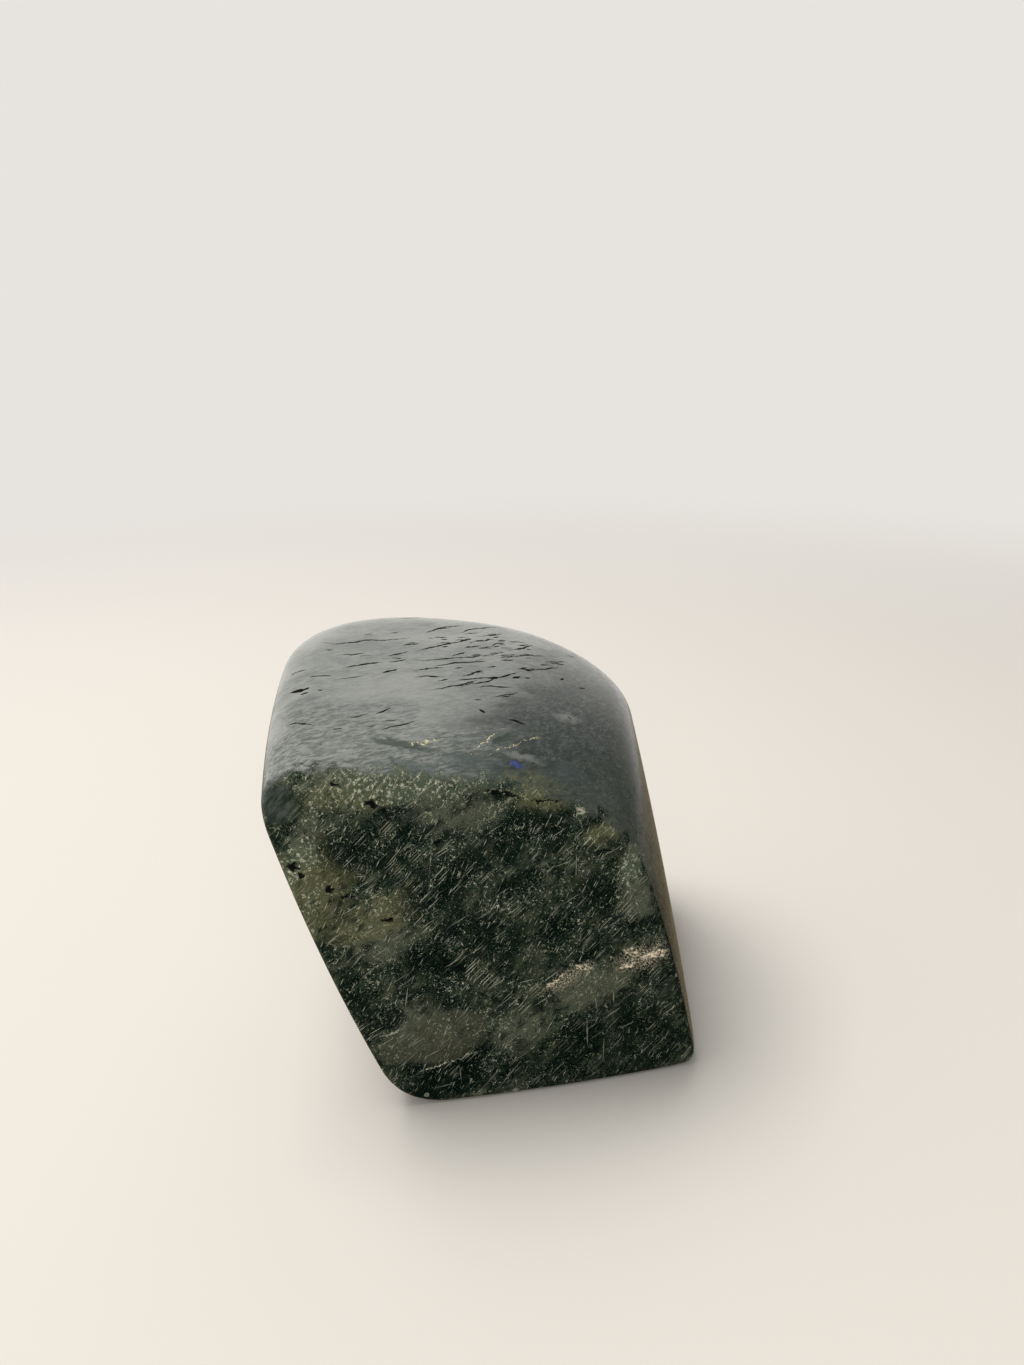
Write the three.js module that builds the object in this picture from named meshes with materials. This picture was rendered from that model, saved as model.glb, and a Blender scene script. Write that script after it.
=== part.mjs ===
// A labradorite freeform: one block of stone, ground to broad faces, polished, and sawn flat underneath.
// Millimetres, +Z up. The dark flat front looks towards -Y, and the block stands on Z = 0 with the
// origin under its middle.
//
// The shape is the block that is left when every face below has been ground in turn. Each face is a
// plane or a very large dome, and each is rounded into the faces ground before it.
import * as THREE from 'three';
import { mergeVertices } from 'three/addons/utils/BufferGeometryUtils.js';

// A point well inside the block, from which the faces are measured.
const HEART = new THREE.Vector3(3, -5.8, 52);

const FLAT = 0;
const STRAIGHT_DOWN = -90;

// turn: the way a face looks round Z, in degrees: 0 is the front, 90 the right, 180 the back.
// lean: how far it looks upwards, in degrees. A negative lean overhangs.
// reach: its distance from the heart. dome: the radius that it bulges to.
// rounding: how wide its edge is rounded into the faces before it.
const GROUND_FACES = [
  { name: 'base', turn: 0, lean: STRAIGHT_DOWN, reach: HEART.z, dome: FLAT, rounding: 0 },
  { name: 'left side', turn: 270, lean: -21.5, reach: 47.5, dome: 750, rounding: 12 },
  { name: 'right side', turn: 87, lean: 13.5, reach: 47, dome: 1600, rounding: 4 },
  { name: 'back', turn: 184, lean: 8, reach: 65.5, dome: 300, rounding: 30 },
  { name: 'right shoulder', turn: 75, lean: 52, reach: 55, dome: 170, rounding: 6 },
  { name: 'top', turn: 42, lean: 74.5, reach: 51, dome: 430, rounding: 16 },
  { name: 'front shoulder', turn: 45, lean: 35, reach: 61, dome: 220, rounding: 25 },
  { name: 'front', turn: 11.5, lean: 6.5, reach: 47.5, dome: 600, rounding: 1.5 },
];

// The solid's fineness: a detail of n gives 20 (n + 1)^2 triangles.
const SPHERE_DETAIL = 21;
const FARTHEST_REACH = 120;
const HALVINGS = 32;

// Faces rounded no more than this have a crisp edge. Vertices within the gather width of such an edge
// move closer to it, so that small triangles follow the edge and large ones fill the faces.
const CRISP_ROUNDING = 5;
const GATHER_WIDTH = 13;
const GATHER_POWER = 0.7;
const SLIDES = 4;
const PROBE = 0.01;

const STONE_COLOUR = 0x3d4643;

function outwardDirection({ turn, lean }) {
  const [t, l] = [turn, lean].map(THREE.MathUtils.degToRad);
  return new THREE.Vector3(Math.sin(t) * Math.cos(l), -Math.cos(t) * Math.cos(l), Math.sin(l));
}

// How far a point stands proud of one ground face; negative inside.
function makeFace(face) {
  const outward = outwardDirection(face);
  if (face.dome === FLAT) {
    return (point) => point.clone().sub(HEART).dot(outward) - face.reach;
  }
  const domeCentre = HEART.clone().addScaledVector(outward, face.reach - face.dome);
  return (point) => point.distanceTo(domeCentre) - face.dome;
}

// The larger of two heights, with the corner between them rounded off.
function roundedMaximum(a, b, rounding) {
  const overlap = rounding > 0 ? Math.max(rounding - Math.abs(a - b), 0) / rounding : 0;
  return Math.max(a, b) + overlap * overlap * rounding / 4;
}

const faces = GROUND_FACES.map((face) => ({ height: makeFace(face), rounding: face.rounding }));
const crispFaces = faces.filter((face) => face.rounding > 0 && face.rounding <= CRISP_ROUNDING);

function heightOver(someFaces, point) {
  return someFaces.reduce(
    (height, face) => roundedMaximum(height, face.height(point), face.rounding),
    -Infinity,
  );
}

// The point where a ray from the heart leaves the block.
function surfacePoint(direction) {
  let inside = 0;
  let outside = FARTHEST_REACH;
  const point = new THREE.Vector3();
  for (let i = 0; i < HALVINGS; i += 1) {
    const middle = (inside + outside) / 2;
    point.copy(HEART).addScaledVector(direction, middle);
    if (heightOver(faces, point) < 0) inside = middle;
    else outside = middle;
  }
  return point;
}

// Above zero on this face, below zero on its neighbours, and zero along its edge.
function leadOf(face, point) {
  const others = faces.filter((other) => other !== face);
  return face.height(point) - heightOver(others, point);
}

function gradient(field, point) {
  const axes = [new THREE.Vector3(1, 0, 0), new THREE.Vector3(0, 1, 0), new THREE.Vector3(0, 0, 1)];
  const slopes = axes.map((axis) => {
    const ahead = field(point.clone().addScaledVector(axis, PROBE));
    const behind = field(point.clone().addScaledVector(axis, -PROBE));
    return (ahead - behind) / (2 * PROBE);
  });
  return new THREE.Vector3(...slopes);
}

function gatheredTowardsEdge(face, start) {
  const startLead = leadOf(face, start);
  const closeness = Math.abs(startLead) / GATHER_WIDTH;
  if (closeness >= 1) return start;
  const wantedLead = startLead * closeness ** GATHER_POWER;
  let point = start;
  for (let i = 0; i < SLIDES; i += 1) {
    const outward = gradient((p) => heightOver(faces, p), point).normalize();
    const slide = gradient((p) => leadOf(face, p), point).projectOnPlane(outward);
    const step = (wantedLead - leadOf(face, point)) / slide.lengthSq();
    const moved = point.clone().addScaledVector(slide, step);
    point = surfacePoint(moved.sub(HEART).normalize());
  }
  return point;
}

function makeStone() {
  const ball = new THREE.IcosahedronGeometry(1, SPHERE_DETAIL);
  ball.deleteAttribute('normal');
  ball.deleteAttribute('uv');
  const geometry = mergeVertices(ball);
  const position = geometry.getAttribute('position');
  const direction = new THREE.Vector3();
  for (let i = 0; i < position.count; i += 1) {
    direction.fromBufferAttribute(position, i).normalize();
    let point = surfacePoint(direction);
    for (const face of crispFaces) point = gatheredTowardsEdge(face, point);
    position.setXYZ(i, point.x, point.y, point.z);
  }
  geometry.computeVertexNormals();
  const material = new THREE.MeshStandardMaterial({
    color: STONE_COLOUR,
    roughness: 0.2,
    metalness: 0,
  });
  const mesh = new THREE.Mesh(geometry, material);
  mesh.name = 'stone';
  return mesh;
}

const labradoriteFreeform = new THREE.Group();
labradoriteFreeform.add(makeStone());

export default labradoriteFreeform;
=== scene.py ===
import math

import bmesh
import bpy
import numpy as np
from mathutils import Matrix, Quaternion, Vector


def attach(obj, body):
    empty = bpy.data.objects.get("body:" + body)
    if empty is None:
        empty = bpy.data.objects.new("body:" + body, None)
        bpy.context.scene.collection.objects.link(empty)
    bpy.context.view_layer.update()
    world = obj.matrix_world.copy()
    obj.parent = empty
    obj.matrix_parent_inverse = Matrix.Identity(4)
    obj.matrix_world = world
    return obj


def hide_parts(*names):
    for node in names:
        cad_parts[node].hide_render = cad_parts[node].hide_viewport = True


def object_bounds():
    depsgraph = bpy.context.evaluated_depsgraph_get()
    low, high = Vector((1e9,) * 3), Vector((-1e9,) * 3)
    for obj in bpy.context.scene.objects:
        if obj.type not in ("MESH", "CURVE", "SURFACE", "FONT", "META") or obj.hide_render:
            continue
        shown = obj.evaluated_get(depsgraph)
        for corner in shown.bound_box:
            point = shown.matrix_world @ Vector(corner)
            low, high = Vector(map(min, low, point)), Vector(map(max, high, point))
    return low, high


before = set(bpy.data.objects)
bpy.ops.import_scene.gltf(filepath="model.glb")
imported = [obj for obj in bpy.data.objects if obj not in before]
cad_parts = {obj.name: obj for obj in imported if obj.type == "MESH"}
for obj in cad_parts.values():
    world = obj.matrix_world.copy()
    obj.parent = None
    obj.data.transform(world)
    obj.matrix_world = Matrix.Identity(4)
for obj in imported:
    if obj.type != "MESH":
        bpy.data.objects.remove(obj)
cad_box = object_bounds()


# The camera stands where the photo was taken: at arm's length, a hand above the stone, looking down
# at the flat front. Its lens is a phone's, given for the long side of the picture.
CAMERA_PLACE = (0.006, -0.2908, 0.202)
CAMERA_PITCH = math.radians(19)
LENS_MM = 27.06
SENSOR_LONG_SIDE_MM = 36.0

camera = bpy.data.objects.new("camera", bpy.data.cameras.new("camera"))
camera.data.lens = LENS_MM
camera.data.sensor_width = SENSOR_LONG_SIDE_MM
camera.data.sensor_fit = "AUTO"
camera.data.clip_start = 0.01
camera.location = CAMERA_PLACE
camera.rotation_euler = (math.pi / 2 - CAMERA_PITCH, 0, 0)
bpy.context.scene.collection.objects.link(camera)
bpy.context.scene.camera = camera


# The stone: one block of labradorite, ground to broad faces on a wheel and polished. Every face is a
# plane or a very large dome, measured from a point well inside, and rounded into those ground before
# it. The work is in millimetres here, and turned to metres as the mesh is made.
MM = 0.001
HEART = np.array([3.0, -5.8, 52.0])
FLAT = 0

# turn: the way a face looks, from the front (0) by the right (90). lean: how far it looks upwards.
GROUND_FACES = [
    dict(name="base", turn=0, lean=-90, reach=52, dome=FLAT, rounding=0),
    dict(name="left side", turn=270, lean=-21.5, reach=47.5, dome=750, rounding=12),
    dict(name="right side", turn=87, lean=13.5, reach=47, dome=1600, rounding=4),
    dict(name="back", turn=184, lean=8, reach=65.5, dome=300, rounding=30),
    dict(name="right shoulder", turn=75, lean=52, reach=55, dome=170, rounding=6),
    dict(name="top", turn=42, lean=74.5, reach=51, dome=430, rounding=16),
    dict(name="front shoulder", turn=45, lean=35, reach=61, dome=220, rounding=25),
    dict(name="front", turn=11.5, lean=6.5, reach=47.5, dome=600, rounding=1.5),
]
FRONT = GROUND_FACES[-1]
FARTHEST_REACH = 120.0
HALVINGS = 26
PROBE = 0.02

# The grid is 1.3 mm fine, and the front's narrow edge is scored with lines of its own along these
# leads: how far, in millimetres, the front face stands proud of its neighbours, or they of it.
GRID_CUTS = 101
EDGE_LEADS = (-1.5, -0.75, 0.0, 0.75, 1.5)


def outward(turn, lean):
    """The unit vector in which a ground face looks."""
    t, l = math.radians(turn), math.radians(lean)
    return np.array([math.sin(t) * math.cos(l), -math.cos(t) * math.cos(l), math.sin(l)])


def face_height(points, face):
    """How far points stand proud of one ground face, in millimetres; negative inside."""
    look = outward(face["turn"], face["lean"])
    if face["dome"] == FLAT:
        return (points - HEART) @ look - face["reach"]
    dome_centre = HEART + look * (face["reach"] - face["dome"])
    return np.linalg.norm(points - dome_centre, axis=-1) - face["dome"]


def height(points, faces=GROUND_FACES):
    """How far points stand proud of the whole block, with the faces' edges rounded off."""
    total = face_height(points, faces[0])
    for face in faces[1:]:
        single = face_height(points, face)
        rounding = face["rounding"]
        overlap = np.maximum(rounding - np.abs(total - single), 0) / rounding
        total = np.maximum(total, single) + overlap * overlap * rounding / 4
    return total


def front_lead(points):
    """Above zero on the front face, below zero on its neighbours, and zero along its edge."""
    return face_height(points, FRONT) - height(points, GROUND_FACES[:-1])


def surface_between(inner, outer):
    """The points where straight lines from inside the block to outside it cross its surface."""
    for _ in range(HALVINGS):
        middle = (inner + outer) / 2
        is_inside = (height(middle) < 0)[:, None]
        inner = np.where(is_inside, middle, inner)
        outer = np.where(is_inside, outer, middle)
    return (inner + outer) / 2


def surface_towards(directions):
    """The surface points in some directions from the heart, kept inside the block's own box."""
    heart = np.broadcast_to(HEART, directions.shape)
    points = surface_between(heart, HEART + directions * FARTHEST_REACH)
    return np.clip(points, np.array(cad_box[0]) / MM, np.array(cad_box[1]) / MM)


def outward_at(points):
    """The surface's outward unit vector at each point."""
    slopes = [height(points + PROBE * axis) - height(points - PROBE * axis) for axis in np.eye(3)]
    normals = np.stack(slopes, axis=-1)
    return normals / np.linalg.norm(normals, axis=1, keepdims=True)


def places_of(bm):
    return np.array([vert.co for vert in bm.verts])


def score(bm, lead):
    """Adds a line of edges to the mesh where the front's lead has one value."""
    bm.verts.index_update()
    leads = front_lead(places_of(bm)) - lead
    crossing = []
    for edge in bm.edges[:]:
        start, end = edge.verts
        start_lead, end_lead = leads[start.index], leads[end.index]
        if start_lead * end_lead < 0:
            crossing.append((edge, start, start_lead / (start_lead - end_lead)))
    fresh = [bmesh.utils.edge_split(edge, start, share)[1] for edge, start, share in crossing]
    bmesh.ops.connect_verts(bm, verts=fresh)


def make_block():
    """The polished block as one fine mesh of even quads, pushed out from the heart."""
    bm = bmesh.new()
    bmesh.ops.create_cube(bm, size=2)
    bmesh.ops.subdivide_edges(bm, edges=bm.edges[:], cuts=GRID_CUTS, use_grid_fill=True)
    directions = np.tan(places_of(bm) * math.pi / 4)
    directions /= np.linalg.norm(directions, axis=1, keepdims=True)
    for vert, point in zip(bm.verts, surface_towards(directions)):
        vert.co = point
    for lead in EDGE_LEADS:
        score(bm, lead)
    directions = places_of(bm) - HEART
    directions /= np.linalg.norm(directions, axis=1, keepdims=True)
    for vert, point in zip(bm.verts, surface_towards(directions)):
        vert.co = point * MM
    mesh = bpy.data.meshes.new("labradorite_block")
    bm.to_mesh(mesh)
    bm.free()
    block = bpy.data.objects.new("labradorite_block", mesh)
    bpy.context.scene.collection.objects.link(block)
    return block


stone = make_block()


# The cracks: labradorite splits along its cleavage, so the polished top is crossed by thin open cracks
# that run nearly side by side. Each is a shallow groove with pointed ends, cut into the block. Fine
# scratches and small chips on the front and its edges are cut in the same way.
CRACK_STEP = 0.9
CRACK_WANDER = 0.13
BLADE_LIFT = 0.5
BLADE_TIP = 0.02
SKY = np.array([0.0, 0.0, 1.0])
VIEWER = np.array([0.0, -1.0, 0.0])
random = np.random.default_rng(7)

# Each crack on the top: the places it runs through, as x and y seen from above, and its width.
TOP_CRACKS = [
    ([(-53, 8.5), (-47.5, 7), (-42, 8.5), (-39, 10.5), (-33.5, 11.5), (-25, 15)], 0.9),
    ([(-31.5, 30.5), (-22.5, 37)], 0.9),
    ([(-50, 2.5), (-47, 3)], 0.7),
    ([(-46, -1), (-42, 0.5), (-37.5, 2)], 0.7),
    ([(-39.5, -0.5), (-35, 0.5)], 0.6),
    ([(-43, -8), (-39.5, -6.5), (-35.5, -4.5), (-31, -3)], 1.0),
    ([(-30.5, -3), (-27.5, -2), (-25, 0)], 1.0),
    ([(-30, 0), (-26.5, 0)], 0.9),
    ([(-31.5, 1), (-28, 3), (-25, 5)], 0.9),
    ([(-23, 6), (-20, 8), (-16, 11.5), (-11.5, 15.5), (-8, 18.5)], 1.0),
    ([(-60.5, -8), (-58, -9)], 0.8),
    ([(-58, -10.5), (-55.5, -10), (-53, -9.5)], 0.9),
    ([(-52, -14.5), (-51, -13.5), (-45, -13)], 0.9),
    ([(-56.5, -21), (-53.5, -21), (-52, -20.5), (-50.5, -19.5)], 1.9),
    ([(-48.5, -21), (-46.5, -21)], 0.8),
    ([(-23.5, -7), (-19, -5), (-13.5, -2.5)], 0.9),
    ([(-17.5, -3), (-11, 1), (-3.5, 4.5)], 0.9),
    ([(-22.5, -11), (-18.5, -9.5), (-12.5, -8.5)], 0.9),
    ([(-10, -9.5), (-3.5, -6.5)], 0.9),
    ([(-17.5, -17.5), (-14, -15.5), (-10, -12.5), (-3.5, -7)], 0.9),
    ([(-23.5, -0.5), (-17, 1.5), (-11, 4), (-4, 8)], 0.8),
    ([(-18.5, 17), (-13.5, 18.5)], 0.9),
    ([(-21.5, 19.5), (-15.5, 27.5), (-12, 29.5)], 0.9),
    ([(-38.5, -33.5), (-35.5, -33), (-32.5, -31)], 0.6),
    ([(-31.5, -31), (-29.5, -30), (-27, -27)], 0.6),
    ([(-54.5, -37), (-51.5, -36.5), (-49, -37), (-45.5, -37.5)], 0.9),
    ([(-41.5, -39), (-38.5, -38.5)], 0.8),
    ([(-29.5, -34.5), (-26.5, -33.5), (-24, -32.5)], 0.5),
    ([(-33, -37), (-29.5, -36)], 0.5),
    ([(-29.5, -38.5), (-26, -36), (-22, -34), (-19, -32)], 0.7),
    ([(-44.5, -15), (-35, -11.5)], 0.45),
    ([(-10.5, 23), (-8, 27.5), (-4.5, 31), (1.5, 38)], 0.9),
    ([(-5.5, 23), (-2, 25.5), (3.5, 31.5)], 0.9),
    ([(-4.5, 19), (-1.5, 23), (1, 24)], 0.9),
    ([(-0.5, 17), (1.5, 21), (3.5, 21.5)], 0.9),
    ([(4.5, 24.5), (10.5, 28.5)], 0.9),
    ([(6, 18), (9, 22), (13, 28.5)], 1.0),
    ([(-9.5, 5), (-7, 6), (-2.5, 10)], 0.9),
    ([(-9.5, 1.5), (-5.5, 3.5), (-1, 6)], 0.9),
    ([(2, 7.5), (7, 10.5)], 1.0),
    ([(2.5, 8.5), (5.5, 12.5), (11.5, 18.5), (13.5, 18.5), (18, 21.5)], 0.9),
    ([(-2, 1), (1.5, 3.5)], 0.9),
    ([(7.5, 4.5), (12, 6.5)], 1.3),
    ([(12, 6.5), (16.5, 10), (21, 15)], 0.8),
    ([(15.5, 14.5), (23.5, 22.5)], 0.8),
    ([(-9, -7), (-6.5, -5), (-2.5, -0.5)], 0.9),
    ([(-9, -9), (-5, -7), (2, -3), (5.5, 0), (9, 3.5)], 1.0),
    ([(-9, -13.5), (-6.5, -10.5), (-1.5, -7.5), (5, -1)], 0.8),
    ([(-4.5, -12), (0, -9.5), (4, -9), (7.5, -8)], 0.9),
    ([(-0.5, -15.5), (2.5, -14), (8, -9.5)], 0.7),
    ([(-5, -19), (-2, -17.5)], 0.5),
    ([(-3.5, -23), (-1, -23.5)], 1.2),
    ([(4, -24.5), (7, -24), (10.5, -25)], 1.4),
    ([(22, -14), (23.5, -15)], 0.9),
]

# Behind the long cracks the top is crossed by many short ones, all close to the same direction, and a
# few more run out of that field to the left.
CRACK_FIELDS = [
    dict(count=50, middle=(3, 18), spread=(12, 9), turn=38, turn_spread=7, length=(2.5, 7.0)),
    dict(count=10, middle=(-24, 10), spread=(14, 10), turn=25, turn_spread=7, length=(2.5, 7.0)),
    dict(count=5, middle=(-4, -10), spread=(9, 5), turn=28, turn_spread=9, length=(2.0, 5.0)),
]
SHORT_CRACK_WIDTH = (0.55, 1.1)

# A crack is this much shallower than it is wide. It narrows to both ends, and its width is uneven.
CRACK_DEPTH_SHARE = 0.65
CRACK_TAPER = 0.6
CRACK_UNEVENNESS = (0.6, 1.1)

# Scratches on the front, seen from the front: x and z at both ends.
FRONT_SCRATCHES = [
    [(26.7, 22.3), (27.2, 11.2)],
    [(31.8, 14.8), (31.7, 5.8)],
    [(36.0, 16.3), (40.3, 17.8)],
    [(34.1, 29.3), (34.3, 24.3)],
    [(-8.4, 12.2), (-7.9, 5.8)],
    [(1.6, 1.7), (9.2, 11.5)],
    [(-2.2, 3.1), (2.9, 9.1)],
    [(-15.4, 4.9), (-9.7, 6.0)],
    [(12.2, 1.6), (14.4, 4.6)],
    [(-30.3, 23.0), (-23.9, 23.6)],
    [(7.0, 5.9), (7.3, 2.4)],
    [(9.3, 4.4), (8.8, 1.8)],
    [(9.5, 4.0), (10.9, 1.2)],
]
LOOSE_SCRATCHES = dict(count=36, low=(-34, 12), high=(38, 78), turn=50, turn_spread=22,
                       half_length=(1, 4))
SCRATCH_WIDTH = 0.42
SCRATCH_DEPTH = 0.12
SCRATCH_WANDER = 0.0

# Chips: places on the block's edges where a crumb broke away, as x, y, z and the crumb's size.
EDGE_CHIPS = [
    ((24.5, -46.5, 82.5), 1.5),
    ((7.0, -57.0, 1.0), 1.0),
    ((-44.5, -60.0, 55.0), 0.8),
    ((52.3, -44.5, 30.0), 0.8),
    ((58.0, -42.5, 1.5), 1.2),
    ((-17.0, -60.0, 4.0), 0.9),
]
CHIP_FLATNESS = 0.45
CHIP_ROUGHNESS = 0.18


def drop_from(points, sky):
    """The surface points that are met first when coming from outside along a direction."""
    inner = points - np.outer((points - HEART) @ sky, sky)
    return surface_between(inner, inner + sky * FARTHEST_REACH)


def wandering_line(corners, wander):
    """A line through the corners in short steps, shaken a little to either side."""
    corners = np.array(corners, dtype=float)
    lengths = np.linalg.norm(np.diff(corners, axis=0), axis=1)
    along = np.concatenate([[0], np.cumsum(lengths)])
    count = max(5, int(along[-1] / CRACK_STEP) + 1)
    steps = np.linspace(0, along[-1], count)
    line = np.stack([np.interp(steps, along, column) for column in corners.T], axis=1)
    shake = np.cumsum(random.normal(0, wander, (count, 2)), axis=0)
    shake -= np.linspace(0, 1, count)[:, None] * shake[-1]
    return line + shake


def line_on_top(corners):
    plan = wandering_line(corners, CRACK_WANDER)
    return drop_from(np.column_stack([plan, np.full(len(plan), HEART[2])]), SKY)


def line_on_front(corners):
    x, z = wandering_line(corners, SCRATCH_WANDER).T
    return drop_from(np.column_stack([x, np.full(len(x), HEART[1]), z]), VIEWER)


def blade(line, width, depth):
    """Corners and faces of a wedge that follows a line on the surface and cuts a pointed groove."""
    normals = outward_at(line)
    ahead = np.gradient(line, axis=0)
    sideways = np.cross(normals, ahead)
    sideways /= np.linalg.norm(sideways, axis=1, keepdims=True)
    share = np.sin(np.linspace(0, math.pi, len(line)))[:, None] ** CRACK_TAPER
    share *= random.uniform(*CRACK_UNEVENNESS, (len(line), 1))
    half = np.maximum(share * width / 2, BLADE_TIP) * (1 + BLADE_LIFT / depth)
    roof = line + normals * BLADE_LIFT
    keel = line - normals * np.maximum(share * depth, BLADE_TIP)
    corners = np.stack([roof - sideways * half, roof + sideways * half, keel], axis=1).reshape(-1, 3)
    faces = [(2, 1, 0)]
    for first in range(0, 3 * (len(line) - 1), 3):
        for a, b in ((0, 1), (1, 2), (2, 0)):
            faces.append((first + a, first + b, first + 3 + b, first + 3 + a))
    last = 3 * (len(line) - 1)
    faces.append((last, last + 1, last + 2))
    return corners, faces


def crumb(place, size):
    """Corners and faces of a flattened, uneven ball that leaves a shallow chip in an edge."""
    bm = bmesh.new()
    bmesh.ops.create_icosphere(bm, subdivisions=2, radius=size)
    corners = places_of(bm) * random.uniform(1 - CHIP_ROUGHNESS, 1 + CHIP_ROUGHNESS, (len(bm.verts), 1))
    bm.verts.index_update()
    faces = [tuple(vert.index for vert in face.verts) for face in bm.faces]
    bm.free()
    direction = (np.array(place) - HEART) / np.linalg.norm(np.array(place) - HEART)
    middle = surface_towards(direction[None])[0]
    normal = outward_at(middle[None])[0]
    corners -= np.outer(corners @ normal, normal) * (1 - CHIP_FLATNESS)
    return corners + middle + normal * size * CHIP_FLATNESS / 2, faces


def short_crack(field):
    """A short crack somewhere in a cracked field, likelier near its middle."""
    middle = random.normal(field["middle"], field["spread"])
    turn = math.radians(random.normal(field["turn"], field["turn_spread"]))
    half = random.uniform(*field["length"]) / 2 * np.array([math.cos(turn), math.sin(turn)])
    return [middle - half, middle + half]


def loose_scratch():
    """A fine scratch somewhere on the front, mostly rising to the right as the polishing ran."""
    middle = random.uniform(LOOSE_SCRATCHES["low"], LOOSE_SCRATCHES["high"])
    turn = math.radians(random.normal(LOOSE_SCRATCHES["turn"], LOOSE_SCRATCHES["turn_spread"]))
    half = random.uniform(*LOOSE_SCRATCHES["half_length"]) * np.array([math.cos(turn), math.sin(turn)])
    return [middle - half, middle + half]


def make_cutters():
    """All the wedges and crumbs as one mesh, ready to be cut out of the block."""
    cracks = list(TOP_CRACKS)
    for field in CRACK_FIELDS:
        cracks += [(short_crack(field), random.uniform(*SHORT_CRACK_WIDTH)) for _ in range(field["count"])]
    cutters = [blade(line_on_top(plan), width, width * CRACK_DEPTH_SHARE) for plan, width in cracks]
    loose_scratches = [loose_scratch() for _ in range(LOOSE_SCRATCHES["count"])]
    for corners in FRONT_SCRATCHES + loose_scratches:
        cutters.append(blade(line_on_front(corners), SCRATCH_WIDTH, SCRATCH_DEPTH))
    cutters += [crumb(place, size) for place, size in EDGE_CHIPS]
    bm = bmesh.new()
    for corners, faces in cutters:
        verts = [bm.verts.new(corner * MM) for corner in corners]
        for face in faces:
            bm.faces.new([verts[i] for i in face])
    bmesh.ops.recalc_face_normals(bm, faces=bm.faces[:])
    mesh = bpy.data.meshes.new("cutters")
    bm.to_mesh(mesh)
    bm.free()
    made = bpy.data.objects.new("cutters", mesh)
    bpy.context.scene.collection.objects.link(made)
    return made


def cut(block, cutters):
    """Cuts the cutters out of the block and removes them."""
    modifier = block.modifiers.new("cut", "BOOLEAN")
    modifier.operation = "DIFFERENCE"
    modifier.solver = "EXACT"
    modifier.use_self = True
    modifier.object = cutters
    bpy.context.view_layer.objects.active = block
    bpy.ops.object.modifier_apply(modifier=modifier.name)
    bpy.data.objects.remove(cutters)


cut(stone, make_cutters())


# The finish: near-black blue-green feldspar with olive and grey patches, filled with fine pale flecks
# and thin laths that lean to the right on the front. The top is cloudier and smoother, and its pale grey
# is partly painted sheen, darker towards the front where it mirrors less.
DEEP = (0.0008, 0.0068, 0.0046, 1)
GREY_GREEN = (0.016, 0.030, 0.018, 1)
GREY = (0.150, 0.162, 0.110, 1)
OLIVE = (0.185, 0.178, 0.082, 1)
# Painted reflection: the brown of a mirrored wooden floor, low on the front.
REFLECTED_BROWN = (0.078, 0.080, 0.050, 1)
HUMP = (0.105, 0.104, 0.052, 1)
BLACK = (0.002, 0.003, 0.003, 1)
SMOOTH_GREY = (0.105, 0.118, 0.105, 1)
# The top's greys are partly painted sheen: lighter than the stone's own cloud.
TOP_DARK = (0.110, 0.120, 0.110, 1)
TOP_LIGHT = (0.235, 0.240, 0.218, 1)
SHOULDER = (0.008, 0.014, 0.012, 1)
MOTTLE = (0.055, 0.066, 0.052, 1)
TEAL = (0.050, 0.072, 0.068, 1)
FLECK_DIM = (0.085, 0.125, 0.078, 1)
FLECK_BRIGHT = (0.84, 0.84, 0.62, 1)
SCRATCH_PALE = (0.34, 0.34, 0.26, 1)
CREAM = (0.90, 0.78, 0.58, 1)
GOLD = (0.62, 0.55, 0.30, 1)
# Painted sheen: the blue of the stone's labradorescent flash, laid into the top's colour.
SHEEN_BLUE = (0.045, 0.062, 0.260, 1)
# Painted shade: the colour deep inside the cracks off the front.
CRACK_SHADE_COLOUR = (0.006, 0.007, 0.006, 1)
STONE_IOR = 1.56
SHARP_ANGLE = math.radians(30)

# The pale laths: how many degrees each kind rises to the right, the length, breadth and thickness of
# the cell that a lath fills, and the share of such cells that hold one.
MIDDLE_LATHS = dict(rise=44, size=(6.5, 1.4, 0.18), share_kept=0.20)
FLAT_LATHS = dict(rise=30, size=(7, 1.5, 0.20), share_kept=0.035)
STEEP_LATHS = dict(rise=64, size=(2.6, 1.0, 0.20), share_kept=0.07)

# How long, broad and thick the grains of each uneven tone are, in millimetres, and how those of the
# top are turned. The front's lie along its laths.
GRAIN = dict(
    patches=(15, 10, 10),
    fine=(3.5, 2.2, 2.2),
    tone=(5, 2, 2),
    crowd=(9, 6, 6),
    swarm=(12, 8, 8),
    specks=(0.44, 0.30, 0.22),
    brightness=(1.0, 1.0, 1.0),
    crumbs=(0.7, 0.7, 0.7),
    edge=(4, 4, 4),
    veil=(19, 9, 9),
    wisps=(3.2, 0.9, 1.2),
    streaks=(7, 1.2, 1.2),
    crinkle=(6, 3.5, 3.5),
    glints=(0.9, 0.9, 0.9),
    smear=(9, 2, 2),
)
UNTURNED = (0, 0, 0)
VEIL_TURN = (0, 0, math.radians(20))
WISP_TURN = (0, 0, math.radians(24))
STREAK_TURN = (0, 0.5, 1.2)
CRINKLE_TURN = (0.3, 0.2, 0.5)
BRIGHTNESS_TURN = (1, 2, 3)

# A blot reaches this far behind and before the face it is seen on.
BLOT_REACH = 50.0

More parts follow.
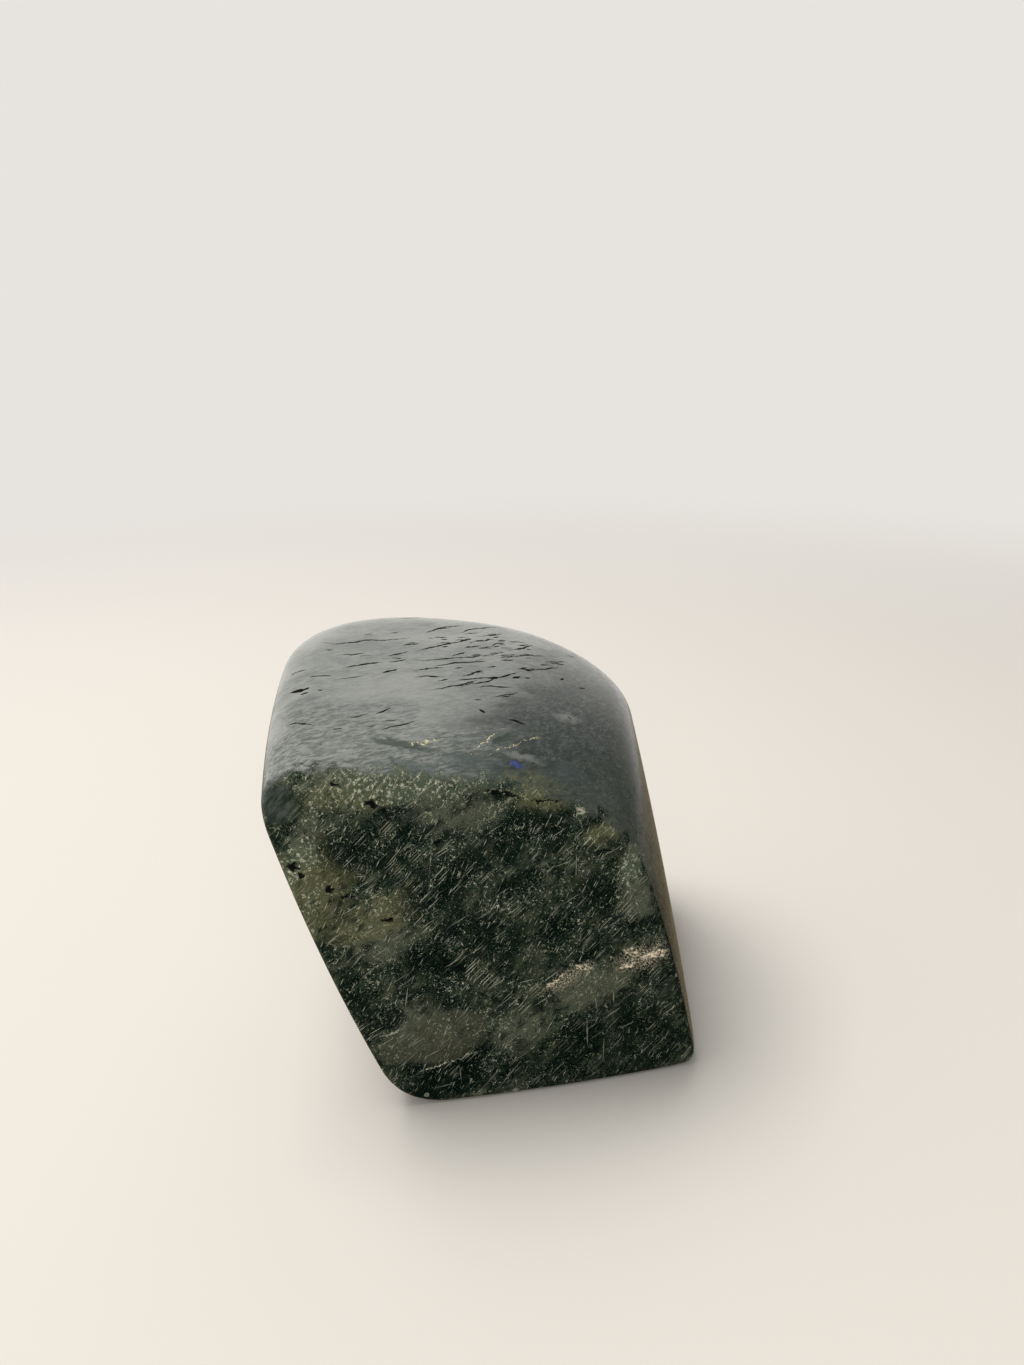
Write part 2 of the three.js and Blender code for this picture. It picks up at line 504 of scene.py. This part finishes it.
# Blots on the front: the middle's x and z, the half width and half height, and the turn in degrees.
FRONT_BLOTS = dict(
    deep=[
        (-34.7, 76.6, 13, 8, 10),
        (-12, 66, 17, 8, 35),
        (13, 78, 14, 6, -10),
        (-2, 50, 16, 9, -20),
        (30, 58, 10, 8, 0),
        (20, 50, 12, 6, 20),
        (42, 18, 9, 12, 0),
        (27, 16, 8, 10, 30),
        (-15, 44, 13, 6, -25),
        (-5, 7, 16, 5, 5),
    ],
    fringe=[
        (-25, 92.5, 33, 7, -3),
        (-49, 74, 5, 16, -22),
        (38, 64, 4, 12, -12),
    ],
    olive=[
        (-36, 90.5, 15, 5, -5),
        (-45, 67, 13, 18, -25),
        (31, 76, 9, 4, 15),
        (14, 87, 12, 5, -8),
        (-30, 57, 15, 8, 25),
    ],
    grey=[
        (-8, 84, 15, 6, 0),
        (-17, 22, 17, 11, -10),
        (28, 31, 14, 9, 15),
        (-26, 50, 11, 8, 20),
        (40, 56, 8, 9, 0),
        (8, 20, 12, 8, 20),
    ],
)
INCLUSIONS = [
    (-29.7, 88.2, 2.6, 0.9, -25),
    (-26.3, 85.6, 2.0, 0.6, -45),
    (-38.5, 93.6, 2.0, 0.6, -30),
    (-49.6, 72.6, 2.1, 1.1, -20),
    (-47.6, 70.3, 1.6, 0.8, 0),
    (-40.9, 66.1, 1.4, 1.1, -30),
    (-37.0, 64.2, 1.4, 0.6, -10),
    (-26.1, 56.8, 2.0, 0.8, -5),
    (-14.3, 81.0, 1.3, 0.6, 35),
    (-13.3, 76.9, 0.9, 0.8, 0),
    (-11.9, 44.2, 2.2, 0.9, -20),
    (-7.8, 41.1, 1.8, 0.8, 0),
    (3.5, 88.5, 5.5, 0.55, -15),
    (14.5, 85.5, 5.5, 0.45, -10),
    (30.0, 70.3, 5.5, 0.35, 2),
]
CREAM_BLOTS = [
    (39.2, 39.8, 3.6, 1.4, -28),
    (45.5, 38.1, 4.8, 1.4, 8),
    (37.5, 35.8, 3.0, 0.7, 5),
    (26.0, 37.3, 3.0, 0.8, -12),
    (26.8, 35.4, 1.4, 0.4, 50),
    (17.8, 34.2, 5.2, 0.45, 38),
    (24.1, 81.8, 1.5, 1.0, -30),
]
CREAM_HALOS = [
    (42.0, 37.8, 11.0, 5.5, 8),
    (21.0, 34.5, 10.0, 3.0, 28),
]
PALE_LINES = [
    (-11.5, 12.8, 12.5, 0.4, 17),
    (-26.2, 23.6, 4.6, 0.4, 18),
]
# Brown patches low on the front: a painted reflection of a brown wooden floor, mottled by the tone noise.
BROWN_REFLECTION_PATCHES = [
    (-12.0, 20.6, 14.0, 8.0, 17),
    (-26.5, 18.2, 5.0, 5.2, 40),
]
DARK_PATCHES = [
    (-7.0, 7.2, 16.0, 5.2, 17),
    (-26.5, 28.0, 4.6, 4.2, 20),
    (24.5, 14.5, 7.5, 6.0, -35),
]
CORNER_PATCH = [
    (-52.5, 89.5, 6.5, 6.0, 30),
]

# How far behind the front's edge its own blots have faded out. The hidden sides have others of the
# same kinds, at random places between two corners.
BLOT_FADE = 14.0
HIDDEN_BLOTS = dict(deep=16, fringe=2, olive=9, grey=12)
HIDDEN_BLOT_SIZE = (7, 17)
HIDDEN_FROM = (-62, -35, 0)
HIDDEN_TO = (62, 62, 108)

# Marks on the top, seen from above in the same way: the middle's x and y, half length and half width.
GOLD_THREADS = [
    (-1.0, -35.7, 9.9, 0.32, 57.7),
    (6.6, -34.0, 10.8, 0.32, 42),
    (-16.7, -40.3, 6.5, 0.28, 29),
]
TOP_LENSES = [
    (-23.0, -42.6, 11.0, 2.2, -4),
    (3.0, -33.5, 6.0, 1.2, 50),
]
TEAL_PATCHES = [
    (-20.0, -50.5, 12.0, 4.0, 5),
    (-4.0, -44.0, 11.0, 4.5, 15),
    (20.0, -38.0, 9.0, 4.0, 30),
]
OLIVE_HUMP = [
    (11.0, -45.5, 11.5, 5.5, 22),
]
PALE_VEILS = [
    (9.0, -37.5, 9.0, 1.8, 8),
    (22.0, -15.0, 6.0, 3.0, 20),
]
# A painted sheen: the blue labradorescent flash, as one patch on the top.
PAINTED_BLUE_SHEEN = [
    (7.0, -40.8, 2.6, 1.2, 10),
]


def blot_share(points, spots):
    """1 in the middle of any of the front's blots, falling to 0 at its border."""
    share = np.zeros(len(points))
    for x, z, half_width, half_height, turn in spots:
        right, up = points[:, 0] - x, points[:, 2] - z
        c, s = math.cos(math.radians(turn)), math.sin(math.radians(turn))
        far = np.hypot((right * c + up * s) / half_width, (up * c - right * s) / half_height)
        share = np.maximum(share, 1 - far)
    return share


def hidden_share(points, count):
    """The same for some uneven balls at random places in the block."""
    share = np.zeros(len(points))
    for _ in range(count):
        middle = random.uniform(HIDDEN_FROM, HIDDEN_TO)
        size = random.uniform(*HIDDEN_BLOT_SIZE, 3)
        share = np.maximum(share, 1 - np.linalg.norm((points - middle) / size, axis=1))
    return share


# Points this close to the block's own box, in millimetres, lie on it.
CLIP_MARGIN = 0.01


def cut_depths(points):
    """How deep each point lies in a crack or chip. Points on the CAD box were clipped, not cut."""
    depths = np.maximum(-height(points), 0)
    clipped = [np.abs(points - np.array(corner) / MM).min(axis=1) < CLIP_MARGIN for corner in cad_box]
    depths[clipped[0] | clipped[1]] = 0
    return depths


def mark_surface(mesh):
    """Gives the polished faces their exact normals, and each vertex the marks that the finish needs."""
    points = np.empty(len(mesh.vertices) * 3)
    mesh.vertices.foreach_get("co", points)
    points = points.reshape(-1, 3) / MM
    normals = outward_at(points)
    depths = cut_depths(points)
    marks = dict(cut_depth=depths, front_lead=front_lead(points), upward=normals[:, 2])
    in_front = np.clip(1 + marks["front_lead"] / BLOT_FADE, 0, 1)
    for name, spots in FRONT_BLOTS.items():
        hidden = hidden_share(points, HIDDEN_BLOTS[name])
        marks[name] = blot_share(points, spots) * in_front + hidden * (1 - in_front)
    for name, values in marks.items():
        attribute = mesh.attributes.new(name, "FLOAT", "POINT")
        attribute.data.foreach_set("value", values.astype(np.float32))
    corner_verts = np.empty(len(mesh.loops), dtype=np.int32)
    mesh.loops.foreach_get("vertex_index", corner_verts)
    sizes = np.empty(len(mesh.polygons), dtype=np.int32)
    mesh.polygons.foreach_get("loop_total", sizes)
    first_corners = np.cumsum(sizes) - sizes
    is_cut = np.maximum.reduceat(depths[corner_verts], first_corners) > CLIP_MARGIN
    corner_normals = normals[corner_verts]
    corner_normals[np.repeat(is_cut, sizes)] = 0
    mesh.shade_smooth()
    mesh.set_sharp_from_angle(angle=SHARP_ANGLE)
    mesh.normals_split_custom_set(corner_normals)


mark_surface(stone.data)


class Wiring:
    """Short names for the shader nodes that the stone's material is wired from."""

    def __init__(self, material):
        material.use_nodes = True
        self.nodes = material.node_tree.nodes
        self.links = material.node_tree.links

    def feed(self, socket, value):
        if isinstance(value, bpy.types.NodeSocket):
            self.links.new(value, socket)
        else:
            socket.default_value = value

    def node(self, kind, inputs, **settings):
        made = self.nodes.new("ShaderNode" + kind)
        for name, value in settings.items():
            setattr(made, name, value)
        for name, value in inputs.items():
            self.feed(made.inputs[name], value)
        return made

    def calculate(self, operation, a, b=0.0):
        return self.node("Math", {0: a, 1: b}, operation=operation).outputs[0]

    def times(self, *factors):
        product = factors[0]
        for factor in factors[1:]:
            product = self.calculate("MULTIPLY", product, factor)
        return product

    def mark(self, name):
        return self.node("Attribute", {}, attribute_name=name).outputs["Fac"]

    def rise(self, value, low, high, to_low=0.0, to_high=1.0):
        """Climbs smoothly from to_low to to_high as the value goes from low to high."""
        inputs = {"Value": value, "From Min": low, "From Max": high, "To Min": to_low, "To Max": to_high}
        return self.node("MapRange", inputs, interpolation_type="SMOOTHSTEP").outputs["Result"]

    def stretched(self, place, turn, size, middle=(0, 0, 0)):
        """The place measured in lengths of a turned, stretched grain."""
        inputs = {"Vector": place, "Location": middle, "Rotation": turn, "Scale": size}
        return self.node("Mapping", inputs, vector_type="TEXTURE").outputs["Vector"]

    def cloud(self, place, detail=3.0, roughness=0.55, distortion=0.0):
        inputs = {"Vector": place, "Scale": 1.0, "Detail": detail, "Roughness": roughness}
        inputs["Distortion"] = distortion
        return self.node("TexNoise", inputs).outputs["Fac"]

    def cells(self, place):
        """Distance to the middle of the nearest cell, and two random numbers for that cell."""
        made = self.node("TexVoronoi", {"Vector": place, "Scale": 1.0})
        chance = self.node("SeparateColor", {"Color": made.outputs["Color"]})
        return made.outputs["Distance"], chance.outputs["Red"], chance.outputs["Green"]

    def blend(self, share, a, b):
        inputs = {"Factor": share, "A": a, "B": b}
        return self.node("Mix", inputs, data_type="RGBA").outputs["Result"]

    def frayed(self, place, grain, amount):
        """The place shaken by a noise, so that blots measured from it get uneven borders."""
        noise = self.node("TexNoise", {"Vector": place, "Scale": 1 / grain, "Detail": 4.0})
        inputs = {0: noise.outputs["Color"], 1: (0.5, 0.5, 0.5)}
        centred = self.node("VectorMath", inputs, operation="SUBTRACT")
        inputs = {0: centred.outputs["Vector"], 1: (2 * amount,) * 3, 2: place}
        return self.node("VectorMath", inputs, operation="MULTIPLY_ADD").outputs["Vector"]

    def blots(self, place, spots, soft, seen_from="front"):
        """How far inside any of some blots a place lies: 1 in the middle, 0 outside."""
        strongest = None
        for across, up, half_width, half_height, turn in spots:
            if seen_from == "front":
                middle, size = (across, -BLOT_REACH, up), (half_width, BLOT_REACH, half_height)
                rotation = (0, math.radians(-turn), 0)
            else:
                middle, size = (across, up, HEART[2] + BLOT_REACH), (half_width, half_height, BLOT_REACH)
                rotation = (0, 0, math.radians(turn))
            inside = self.stretched(place, rotation, size, middle)
            far = self.node("VectorMath", {0: inside}, operation="LENGTH").outputs["Value"]
            share = self.rise(far, 1 - soft, 1.0, 1.0, 0.0)
            strongest = share if strongest is None else self.calculate("MAXIMUM", strongest, share)
        return strongest


def lying_on_front(rise):
    """The turn that lays a grain in the front face, rising to the right by some degrees."""
    onto_front = Vector(VIEWER).rotation_difference(Vector(outward(FRONT["turn"], FRONT["lean"])))
    return (onto_front @ Quaternion((0, 1, 0), math.radians(-rise))).to_euler()


def needles(w, place, rise, size, share_kept):
    """Thin pale laths all lying one way: the middles of stretched cells, most of them left out."""
    distance, chance, strength = w.cells(w.stretched(place, lying_on_front(rise), size))
    kept = w.rise(chance, 1 - share_kept, 1 - share_kept + 0.02)
    return w.times(w.rise(distance, 0.15, 0.5, 1.0, 0.0), kept, w.rise(strength, 0, 1, 0.35, 1.0))


def front_ground(w, place):
    """The front's dark ground, before its flecks: blue-black, grey-green and olive patches."""
    grain_turn = lying_on_front(MIDDLE_LATHS["rise"])
    patches = w.cloud(w.stretched(place, grain_turn, GRAIN["patches"]), 6, 0.62, 0.5)
    fine = w.cloud(w.stretched(place, grain_turn, GRAIN["fine"]), 4, 0.65)
    fray = w.calculate("ADD", w.times(patches, 0.9), w.times(fine, 0.9))
    share = {name: w.rise(w.calculate("ADD", w.mark(name), fray), 0.85, 1.6) for name in FRONT_BLOTS}
    ground = w.blend(w.rise(patches, 0.36, 0.66), DEEP, GREY_GREEN)
    ground = w.blend(w.times(share["grey"], 0.7), ground, GREY)
    ground = w.blend(w.times(share["fringe"], 0.9), ground, GREY)
    ground = w.blend(w.times(share["olive"], 0.7), ground, OLIVE)
    ground = w.blend(w.times(share["deep"], 0.95), ground, DEEP)
    return w.blend(w.rise(fine, 0.32, 0.5, 0.7, 0.0), ground, DEEP)


def top_ground(w, place):
    """The top's cloudy grey, partly painted sheen, drawn out along the cleavage, darker towards the front
    where it mirrors less, and darker and crinkled on the shoulder.
    """
    veil = w.cloud(w.stretched(place, VEIL_TURN, GRAIN["veil"]), 5, 0.6, 0.3)
    wisps = w.cloud(w.stretched(place, WISP_TURN, GRAIN["wisps"]), 5, 0.75, 0.5)
    cloudy = w.calculate("ADD", w.times(veil, 0.5), w.times(wisps, 0.5))
    top = w.blend(w.rise(cloudy, 0.34, 0.62), TOP_DARK, TOP_LIGHT)
    x, y, z = w.node("SeparateXYZ", {"Vector": place}).outputs
    sway = w.rise(veil, 0.3, 0.7, -9, 9)
    to_shoulder = w.rise(w.calculate("ADD", w.calculate("ADD", x, w.times(y, -0.35)), sway), -4, 20)
    streaks = w.cloud(w.stretched(place, STREAK_TURN, GRAIN["streaks"]), 5, 0.65)
    shoulder = w.blend(w.rise(streaks, 0.42, 0.72), SHOULDER, MOTTLE)
    shoulder = w.blend(w.rise(z, 95, 75, 0.0, 0.9), shoulder, MOTTLE)
    # Painted reflection: the top is darker towards the front, where it mirrors less of the bright back.
    less_sheen_towards_front = w.rise(w.calculate("ADD", y, sway), -22, -46)
    mottle = w.blend(w.rise(wisps, 0.40, 0.62), MOTTLE, TOP_LIGHT)
    top = w.blend(w.times(less_sheen_towards_front, 0.7), top, mottle)
    top = w.blend(w.times(to_shoulder, 0.92), top, shoulder)
    crinkle = w.cloud(w.stretched(place, CRINKLE_TURN, GRAIN["crinkle"]), 4, 0.65, 1.2)
    off_middle = w.calculate("ABSOLUTE", w.calculate("SUBTRACT", crinkle, 0.5))
    vein = w.rise(off_middle, 0.0, 0.02, 1.0, 0.0)
    near_shoulder = w.rise(w.calculate("ADD", x, sway), 2, 14)
    top = w.blend(w.times(vein, near_shoulder, 0.3), top, TOP_LIGHT)

    frayed = w.frayed(place, 2.5, 2.0)
    top = w.blend(w.times(w.blots(frayed, PALE_VEILS, 0.9, "top"), 0.55), top, TOP_LIGHT)
    top = w.blend(w.times(w.blots(w.frayed(place, 6, 5), TEAL_PATCHES, 0.9, "top"), 0.7), top, TEAL)
    top = w.blend(w.times(w.blots(frayed, TOP_LENSES, 0.6, "top"), 0.8), top, GREY_GREEN)
    hump = w.blend(w.rise(crinkle, 0.35, 0.6), GREY_GREEN, HUMP)
    hump = w.blend(w.rise(streaks, 0.45, 0.6), hump, MOTTLE)
    top = w.blend(w.times(w.blots(frayed, OLIVE_HUMP, 0.4, "top"), 0.9), top, hump)
    # Painted sheen: the blue flash is painted into the colour.
    top = w.blend(w.times(w.blots(frayed, PAINTED_BLUE_SHEEN, 0.9, "top"), 0.9), top, SHEEN_BLUE)
    glints = w.rise(w.cloud(w.stretched(place, UNTURNED, GRAIN["glints"]), 2, 0.7), 0.46, 0.56)
    return w.blend(w.times(w.blots(frayed, GOLD_THREADS, 0.5, "top"), glints), top, GOLD)


def make_material():
    """All the finish's layers, from the ground up to the cracks, and the polish over them."""
    material = bpy.data.materials.new("polished_labradorite")
    w = Wiring(material)
    shader = w.nodes["Principled BSDF"]
    metres = w.node("TexCoord", {}).outputs["Object"]
    place = w.node("VectorMath", {0: metres, "Scale": 1 / MM}, operation="SCALE").outputs["Vector"]
    shaken = w.frayed(place, 1.1, 1.9)

    edge_noise = w.cloud(w.stretched(place, UNTURNED, GRAIN["edge"]), 4)
    ragged_upward = w.calculate("ADD", w.mark("upward"), w.rise(edge_noise, 0.3, 0.7, -0.18, 0.18))
    on_top = w.rise(ragged_upward, 0.15, 0.6)
    ragged_lead = w.calculate("ADD", w.mark("front_lead"), w.rise(edge_noise, 0.3, 0.7, -5, 2))
    speckled = w.calculate("MAXIMUM", w.rise(ragged_lead, -4, 0), w.rise(on_top, 0.0, 1.0, 1.0, 0.0))
    colour = w.blend(speckled, top_ground(w, place), front_ground(w, place))

    grain_turn = lying_on_front(MIDDLE_LATHS["rise"])
    patch_edge = w.frayed(place, 3.0, 1.5)
    tone = w.cloud(w.stretched(place, grain_turn, GRAIN["tone"]), 5, 0.7)
    # Painted reflection: brown patches low on the front, where fewer flecks show.
    brown_reflection = w.times(w.blots(patch_edge, BROWN_REFLECTION_PATCHES, 0.2), w.rise(tone, 0.32, 0.6, 0.25, 1.0))
    dark = w.blots(patch_edge, DARK_PATCHES, 0.2)
    corner = w.blots(w.frayed(place, 4.0, 2.5), CORNER_PATCH, 0.6)
    smooth_grey = w.blend(w.rise(tone, 0.35, 0.65), GREY_GREEN, SMOOTH_GREY)
    colour = w.blend(w.times(brown_reflection, 0.85), colour, REFLECTED_BROWN)
    colour = w.blend(w.times(dark, 0.8), colour, DEEP)

    crowd = w.cloud(w.stretched(place, grain_turn, GRAIN["crowd"]), 4, 0.6)
    crowding = w.calculate("ADD", w.rise(crowd, 0.3, 0.7), w.times(w.mark("olive"), 0.4))
    crowding = w.calculate("ADD", crowding, w.times(w.mark("fringe"), 1.2))
    fewest = w.rise(crowding, 0.0, 1.8, 0.61, 0.45)
    grain = w.cloud(w.stretched(place, grain_turn, GRAIN["specks"]), 2, 0.8)
    gaps = w.rise(grain, 0.36, 0.52, 0.6, 0.0)
    colour = w.blend(w.times(gaps, speckled), colour, DEEP)
    specks = w.rise(w.calculate("SUBTRACT", grain, fewest), 0.0, 0.06)
    brightness = w.cloud(w.stretched(place, BRIGHTNESS_TURN, GRAIN["brightness"]), 1)
    fleck = w.blend(w.rise(brightness, 0.48, 0.74), FLECK_DIM, FLECK_BRIGHT)
    bare = w.rise(w.calculate("MAXIMUM", corner, w.times(brown_reflection, 0.4)), 0.0, 1.0, 1.0, 0.0)
    colour = w.blend(w.times(specks, speckled, bare, 0.85), colour, fleck)

    swarm = w.rise(w.cloud(w.stretched(place, grain_turn, GRAIN["swarm"]), 2), 0.46, 0.62, 0.05, 1.0)
    laths = w.times(needles(w, place, **MIDDLE_LATHS), swarm)
    laths = w.calculate("MAXIMUM", laths, needles(w, place, **FLAT_LATHS))
    laths = w.calculate("MAXIMUM", laths, needles(w, place, **STEEP_LATHS))
    laths = w.times(laths, speckled, bare)
    colour = w.blend(w.times(laths, 0.7), colour, FLECK_BRIGHT)
    colour = w.blend(w.times(corner, 0.9), colour, smooth_grey)

    on_front = w.rise(w.mark("front_lead"), -2.5, 0.0)
    black = w.times(w.blots(shaken, INCLUSIONS, 0.35), w.rise(w.mark("front_lead"), -6, -2))
    colour = w.blend(black, colour, BLACK)
    crumbling = w.cloud(w.stretched(place, UNTURNED, GRAIN["crumbs"]), 3, 0.7)
    crumbs = w.rise(crumbling, 0.45, 0.56, 0.05, 1.0)
    cream = w.times(w.blots(shaken, CREAM_BLOTS, 0.5), on_front, crumbs)
    halo = w.times(w.blots(shaken, CREAM_HALOS, 0.9), on_front, w.rise(grain, 0.54, 0.6))
    colour = w.blend(w.calculate("MAXIMUM", cream, halo), colour, CREAM)
    borders = w.times(w.blots(shaken, PALE_LINES, 0.6), on_front, crumbs, 0.6)
    colour = w.blend(borders, colour, FLECK_BRIGHT)

    depth = w.mark("cut_depth")
    # The shallow walls of every cut are paler: on the front this is the real frosting of the scratches,
    # elsewhere a painted highlight along the lips of the cracks.
    scratch_pale_and_lip_highlight = w.blend(on_front, GREY, SCRATCH_PALE)
    cut_rim = w.times(w.rise(depth, 0.005, 0.04, 0.0, 0.7), w.rise(depth, 0.14, 0.3, 1.0, 0.2))
    colour = w.blend(cut_rim, colour, scratch_pale_and_lip_highlight)
    # Painted shade: cracks off the front grow dark deeper in, where the groove shades itself.
    crack_shade = w.times(w.rise(depth, 0.03, 0.12), w.rise(on_front, 0.0, 1.0, 1.0, 0.0))
    colour = w.blend(crack_shade, colour, CRACK_SHADE_COLOUR)

    w.feed(shader.inputs["Base Color"], colour)
    shader.inputs["IOR"].default_value = STONE_IOR
    smear = w.cloud(w.stretched(place, grain_turn, GRAIN["smear"]), 3)
    polish = w.rise(smear, 0.3, 0.7, 0.16, 0.28)
    dulled = w.calculate("MAXIMUM", w.rise(depth, 0.005, 0.05, 0.0, 0.7), w.times(black, 0.5))
    w.feed(shader.inputs["Roughness"], w.calculate("MAXIMUM", polish, dulled))

    relief = w.calculate("ADD", w.times(specks, speckled, 0.3), laths)
    relief = w.calculate("SUBTRACT", relief, w.times(black, 2.0))
    bump_inputs = {"Height": relief, "Strength": 0.2, "Distance": 0.0001}
    w.feed(shader.inputs["Normal"], w.node("Bump", bump_inputs).outputs["Normal"])
    return material


stone.data.materials.clear()
stone.data.materials.append(make_material())
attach(stone, "root")
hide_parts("stone")


# The floor is a plain pale sheet. It fades into the backdrop's own colour far from the stone, so that
# no horizon shows from any side, and the stone doesn't mirror it.
FLOOR_SIZE = 12.0
FLOOR_ROUGHNESS = 0.8
FLOOR_COLOUR = (0.66, 0.62, 0.56, 1)
BACKDROP_COLOUR = (0.80, 0.77, 0.73, 1)
FADE_START = 0.25
FADE_END = 1.1

floor_mesh = bpy.data.meshes.new("floor")
bm = bmesh.new()
bmesh.ops.create_grid(bm, x_segments=1, y_segments=1, size=FLOOR_SIZE / 2)
bm.to_mesh(floor_mesh)
bm.free()
floor = bpy.data.objects.new("floor", floor_mesh)
bpy.context.scene.collection.objects.link(floor)
floor.visible_glossy = False
floor_paint = bpy.data.materials.new("floor_paint")
w = Wiring(floor_paint)
floor_shader = w.nodes["Principled BSDF"]
floor_shader.inputs["Base Color"].default_value = FLOOR_COLOUR
floor_shader.inputs["Roughness"].default_value = FLOOR_ROUGHNESS
floor_place = w.node("TexCoord", {}).outputs["Object"]
distance = w.node("VectorMath", {0: floor_place}, operation="LENGTH").outputs["Value"]
haze = w.node("Emission", {"Color": BACKDROP_COLOUR, "Strength": 1.0}).outputs["Emission"]
fading = w.rise(distance, FADE_START, FADE_END)
mixed = w.node("MixShader", {0: fading, 1: floor_shader.outputs["BSDF"], 2: haze})
w.links.new(mixed.outputs["Shader"], w.nodes["Material Output"].inputs["Surface"])
floor.data.materials.append(floor_paint)


# The light is soft: bright behind and to the left, where the polished top mirrors it, and dim in
# front, so that the flat front stays dark. The camera itself sees an even, pale backdrop.
DIM_FRONT = (0.015, 0.016, 0.016, 1)
BRIGHT_BACK = (1.05, 1.02, 0.98, 1)
OVERHEAD = (0.40, 0.42, 0.43, 1)
BELOW_TINT = (0.24, 0.20, 0.13, 1)
WHITE = (1, 1, 1, 1)
BACK_SHARE = 0.8
LEFT_SHARE = 0.85
LAMP_TARGET = (0, 0, 0.05)

world = bpy.data.worlds.new("studio")
bpy.context.scene.world = world
w = Wiring(world)
backdrop = w.nodes["Background"]
x, y, z = w.node("SeparateXYZ", {"Vector": w.node("TexCoord", {}).outputs["Generated"]}).outputs
backwards = w.calculate("SUBTRACT", w.times(y, BACK_SHARE), w.times(x, LEFT_SHARE))
room = w.blend(w.rise(backwards, -0.35, 0.55), DIM_FRONT, BRIGHT_BACK)
room = w.blend(w.rise(z, 0.25, 0.9, 0.0, 0.55), room, OVERHEAD)
tint = w.blend(w.rise(z, -0.38, -0.12), BELOW_TINT, WHITE)
room = w.node("VectorMath", {0: room, 1: tint}, operation="MULTIPLY").outputs["Vector"]
seen = w.node("LightPath", {}).outputs["Is Camera Ray"]
w.feed(backdrop.inputs["Color"], w.blend(seen, room, BACKDROP_COLOUR))
backdrop.inputs["Strength"].default_value = 1.0


def area_light(name, place, target, size, power):
    """A square soft light that faces a point."""
    light = bpy.data.objects.new(name, bpy.data.lights.new(name, "AREA"))
    light.data.size = size
    light.data.energy = power
    light.location = place
    light.rotation_euler = (Vector(target) - Vector(place)).to_track_quat("-Z", "Y").to_euler()
    light.visible_glossy = False
    bpy.context.scene.collection.objects.link(light)


area_light("key", place=(-0.6, 0.25, 1.5), target=LAMP_TARGET, size=0.9, power=24)
area_light("fill", place=(0.1, -0.9, 0.45), target=LAMP_TARGET, size=0.7, power=3)

bpy.context.scene.view_settings.view_transform = "Standard"
